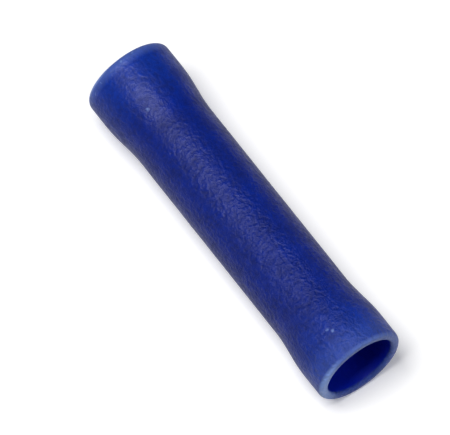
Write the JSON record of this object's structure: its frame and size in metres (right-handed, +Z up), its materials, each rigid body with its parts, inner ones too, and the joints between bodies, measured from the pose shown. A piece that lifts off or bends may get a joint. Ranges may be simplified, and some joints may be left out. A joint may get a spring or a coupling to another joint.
{
  "type": "butt splice connector",
  "caption": "Insulated butt splice connector: a flared plastic sleeve over a metal crimp barrel with a wire stop in its middle, for joining wires end to end.",
  "frame": {"origin": "centre of the lower rim, on the surface that the connector stands on", "axes": "+Z up along the connector's axis, from the lower mouth to the upper mouth; X and Y are any two directions across it, because the form is round"},
  "size_m": [0.006, 0.006, 0.025],
  "materials": {
    "sleeve": "fine-grained matte PVC, blue",
    "barrel": "satin tin plate over copper"
  },
  "bodies": {
    "root": {"insulation_sleeve": "sleeve", "crimp_barrel": "barrel"}
  },
  "joints": []
}
